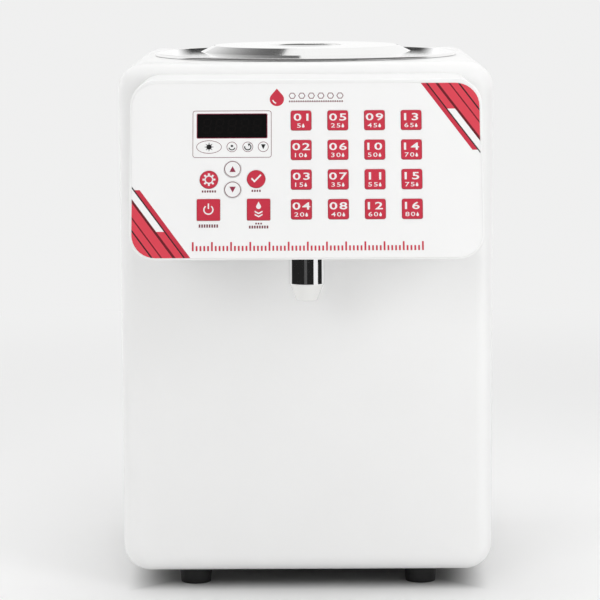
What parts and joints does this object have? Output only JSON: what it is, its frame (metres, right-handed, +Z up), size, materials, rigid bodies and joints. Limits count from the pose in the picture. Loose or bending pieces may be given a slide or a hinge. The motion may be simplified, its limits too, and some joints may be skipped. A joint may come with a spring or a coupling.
{
  "type": "syrup dispenser",
  "caption": "Countertop syrup dispenser: white cabinet with a lidded steel tank, a gear pump and an overhanging head with dose keys, a display and a drip-free nozzle.",
  "frame": {"origin": "on the table, at the middle of the part's width and overall depth", "axes": "+Z up and -Y out of the front, towards the person at the key panel; +X to that person's right"},
  "size_m": [0.275, 0.3801, 0.4008],
  "materials": {
    "cabinet_paint": "smooth white powder coat, satin gloss",
    "zinc_steel": "plain zinc-coated sheet",
    "foot_rubber": "black moulded rubber",
    "screw_steel": "bright stainless",
    "head_plastic": "white moulded plastic, satin gloss",
    "panel_film": "white printed polyester film",
    "display_glass": "smoked black acrylic",
    "module_black": "black moulded plastic",
    "board_green": "green circuit board",
    "tank_steel": "satin stainless",
    "lid_steel": "polished stainless",
    "seal_rubber": "translucent white silicone",
    "heater_rubber": "red-brown silicone heating belt",
    "hose_silicone": "food-grade clear silicone hose",
    "pump_metal": "machined metal",
    "motor_black": "black painted motor can",
    "gear_steel": "ground steel",
    "nozzle_chrome": "polished stainless",
    "nozzle_plastic": "white acetal",
    "nut_brass": "turned brass",
    "valve_plastic": "white acetal",
    "spring_steel": "spring steel",
    "supply_case": "bare aluminium case",
    "socket_black": "black moulded plastic",
    "rocker_red": "glossy red rocker",
    "harness_sleeve": "black braided sleeve over wires",
    "key_red": "crimson key face",
    "key_white": "white key face"
  },
  "bodies": {
    "root": {"outer_shell": "cabinet_paint", "rear_cover": "cabinet_paint", "base_plate": "zinc_steel", "rubber_feet": "foot_rubber", "machine_screws": "screw_steel", "head_shell": "head_plastic", "control_overlay": "panel_film", "display_window": "display_glass", "display_module": "module_black", "control_board": "board_green", "tact_switches": "module_black", "syrup_tank": "tank_steel", "tank_gasket": "seal_rubber", "tank_heater": "heater_rubber", "temperature_sensor": "module_black", "tank_outlet": "tank_steel", "suction_hose": "hose_silicone", "delivery_hose": "hose_silicone", "hose_clamps": "screw_steel", "pump_body": "pump_metal", "pump_cover": "pump_metal", "pump_screws": "screw_steel", "pump_bracket": "zinc_steel", "pump_motor": "motor_black", "nozzle_sleeve": "nozzle_chrome", "nozzle_tip": "nozzle_plastic", "nozzle_nut": "nut_brass", "valve_spring": "spring_steel", "power_supply": "supply_case", "power_inlet": "socket_black", "switch_frame": "socket_black", "wiring_harness": "harness_sleeve"},
    "dose_key_01": {"dose_key_01": "key_red"},
    "dose_key_02": {"dose_key_02": "key_red"},
    "dose_key_03": {"dose_key_03": "key_red"},
    "dose_key_04": {"dose_key_04": "key_red"},
    "dose_key_05": {"dose_key_05": "key_red"},
    "dose_key_06": {"dose_key_06": "key_red"},
    "dose_key_07": {"dose_key_07": "key_red"},
    "dose_key_08": {"dose_key_08": "key_red"},
    "dose_key_09": {"dose_key_09": "key_red"},
    "dose_key_10": {"dose_key_10": "key_red"},
    "dose_key_11": {"dose_key_11": "key_red"},
    "dose_key_12": {"dose_key_12": "key_red"},
    "dose_key_13": {"dose_key_13": "key_red"},
    "dose_key_14": {"dose_key_14": "key_red"},
    "dose_key_15": {"dose_key_15": "key_red"},
    "dose_key_16": {"dose_key_16": "key_red"},
    "set_key": {"set_key": "key_red"},
    "save_key": {"save_key": "key_red"},
    "up_key": {"up_key": "key_white"},
    "down_key": {"down_key": "key_white"},
    "power_key": {"power_key": "key_red"},
    "pour_key": {"pour_key": "key_red"},
    "lid": {"tank_lid": "lid_steel", "lid_handle": "lid_steel"},
    "drive_gear": {"pump_drive_gear": "gear_steel"},
    "idler_gear": {"pump_idler_gear": "gear_steel"},
    "rocker": {"switch_rocker": "rocker_red"},
    "valve": {"check_valve": "valve_plastic"}
  },
  "joints": [
    {"name": "dose_key_01_press", "type": "slide", "parent": "root", "child": "dose_key_01", "axis": [0, 0.9397, -0.342], "range_m": [0, 0.0005], "stiffness_N_per_m": 1500, "springref_m": -0.0004},
    {"name": "dose_key_02_press", "type": "slide", "parent": "root", "child": "dose_key_02", "axis": [0, 0.9397, -0.342], "range_m": [0, 0.0005], "stiffness_N_per_m": 1500, "springref_m": -0.0004},
    {"name": "dose_key_03_press", "type": "slide", "parent": "root", "child": "dose_key_03", "axis": [0, 0.9397, -0.342], "range_m": [0, 0.0005], "stiffness_N_per_m": 1500, "springref_m": -0.0004},
    {"name": "dose_key_04_press", "type": "slide", "parent": "root", "child": "dose_key_04", "axis": [0, 0.9397, -0.342], "range_m": [0, 0.0005], "stiffness_N_per_m": 1500, "springref_m": -0.0004},
    {"name": "dose_key_05_press", "type": "slide", "parent": "root", "child": "dose_key_05", "axis": [0, 0.9397, -0.342], "range_m": [0, 0.0005], "stiffness_N_per_m": 1500, "springref_m": -0.0004},
    {"name": "dose_key_06_press", "type": "slide", "parent": "root", "child": "dose_key_06", "axis": [0, 0.9397, -0.342], "range_m": [0, 0.0005], "stiffness_N_per_m": 1500, "springref_m": -0.0004},
    {"name": "dose_key_07_press", "type": "slide", "parent": "root", "child": "dose_key_07", "axis": [0, 0.9397, -0.342], "range_m": [0, 0.0005], "stiffness_N_per_m": 1500, "springref_m": -0.0004},
    {"name": "dose_key_08_press", "type": "slide", "parent": "root", "child": "dose_key_08", "axis": [0, 0.9397, -0.342], "range_m": [0, 0.0005], "stiffness_N_per_m": 1500, "springref_m": -0.0004},
    {"name": "dose_key_09_press", "type": "slide", "parent": "root", "child": "dose_key_09", "axis": [0, 0.9397, -0.342], "range_m": [0, 0.0005], "stiffness_N_per_m": 1500, "springref_m": -0.0004},
    {"name": "dose_key_10_press", "type": "slide", "parent": "root", "child": "dose_key_10", "axis": [0, 0.9397, -0.342], "range_m": [0, 0.0005], "stiffness_N_per_m": 1500, "springref_m": -0.0004},
    {"name": "dose_key_11_press", "type": "slide", "parent": "root", "child": "dose_key_11", "axis": [0, 0.9397, -0.342], "range_m": [0, 0.0005], "stiffness_N_per_m": 1500, "springref_m": -0.0004},
    {"name": "dose_key_12_press", "type": "slide", "parent": "root", "child": "dose_key_12", "axis": [0, 0.9397, -0.342], "range_m": [0, 0.0005], "stiffness_N_per_m": 1500, "springref_m": -0.0004},
    {"name": "dose_key_13_press", "type": "slide", "parent": "root", "child": "dose_key_13", "axis": [0, 0.9397, -0.342], "range_m": [0, 0.0005], "stiffness_N_per_m": 1500, "springref_m": -0.0004},
    {"name": "dose_key_14_press", "type": "slide", "parent": "root", "child": "dose_key_14", "axis": [0, 0.9397, -0.342], "range_m": [0, 0.0005], "stiffness_N_per_m": 1500, "springref_m": -0.0004},
    {"name": "dose_key_15_press", "type": "slide", "parent": "root", "child": "dose_key_15", "axis": [0, 0.9397, -0.342], "range_m": [0, 0.0005], "stiffness_N_per_m": 1500, "springref_m": -0.0004},
    {"name": "dose_key_16_press", "type": "slide", "parent": "root", "child": "dose_key_16", "axis": [0, 0.9397, -0.342], "range_m": [0, 0.0005], "stiffness_N_per_m": 1500, "springref_m": -0.0004},
    {"name": "set_key_press", "type": "slide", "parent": "root", "child": "set_key", "axis": [0, 0.9397, -0.342], "range_m": [0, 0.0005], "stiffness_N_per_m": 1500, "springref_m": -0.0004},
    {"name": "save_key_press", "type": "slide", "parent": "root", "child": "save_key", "axis": [0, 0.9397, -0.342], "range_m": [0, 0.0005], "stiffness_N_per_m": 1500, "springref_m": -0.0004},
    {"name": "up_key_press", "type": "slide", "parent": "root", "child": "up_key", "axis": [0, 0.9397, -0.342], "range_m": [0, 0.0005], "stiffness_N_per_m": 1500, "springref_m": -0.0004},
    {"name": "down_key_press", "type": "slide", "parent": "root", "child": "down_key", "axis": [0, 0.9397, -0.342], "range_m": [0, 0.0005], "stiffness_N_per_m": 1500, "springref_m": -0.0004},
    {"name": "power_key_press", "type": "slide", "parent": "root", "child": "power_key", "axis": [0, 0.9397, -0.342], "range_m": [0, 0.0005], "stiffness_N_per_m": 1500, "springref_m": -0.0004},
    {"name": "pour_key_press", "type": "slide", "parent": "root", "child": "pour_key", "axis": [0, 0.9397, -0.342], "range_m": [0, 0.0005], "stiffness_N_per_m": 1500, "springref_m": -0.0004},
    {"name": "lid_lift", "type": "slide", "parent": "root", "child": "lid", "axis": [0, 0, 1], "range_m": [0, 0.12]},
    {"name": "drive_gear_spin", "type": "hinge", "parent": "root", "child": "drive_gear", "pos_m": [0, 0.06825, 0.048], "axis": [1, 0, 0], "continuous": true},
    {"name": "idler_gear_spin", "type": "hinge", "parent": "root", "child": "idler_gear", "pos_m": [0, 0.04375, 0.048], "axis": [1, 0, 0], "continuous": true},
    {"name": "switch_rock", "type": "hinge", "parent": "root", "child": "rocker", "pos_m": [-0.085, 0.1845, 0.09], "axis": [1, 0, 0], "range_deg": [0, 16]},
    {"name": "valve_open", "type": "slide", "parent": "root", "child": "valve", "axis": [0, 0, -1], "range_m": [0, 0.0025], "stiffness_N_per_m": 120, "springref_m": -0.002, "deforming": ["valve_spring"]}
  ],
  "couplings": [
    {"joint": "idler_gear_spin", "follows": "drive_gear_spin", "ratio": -1}
  ]
}
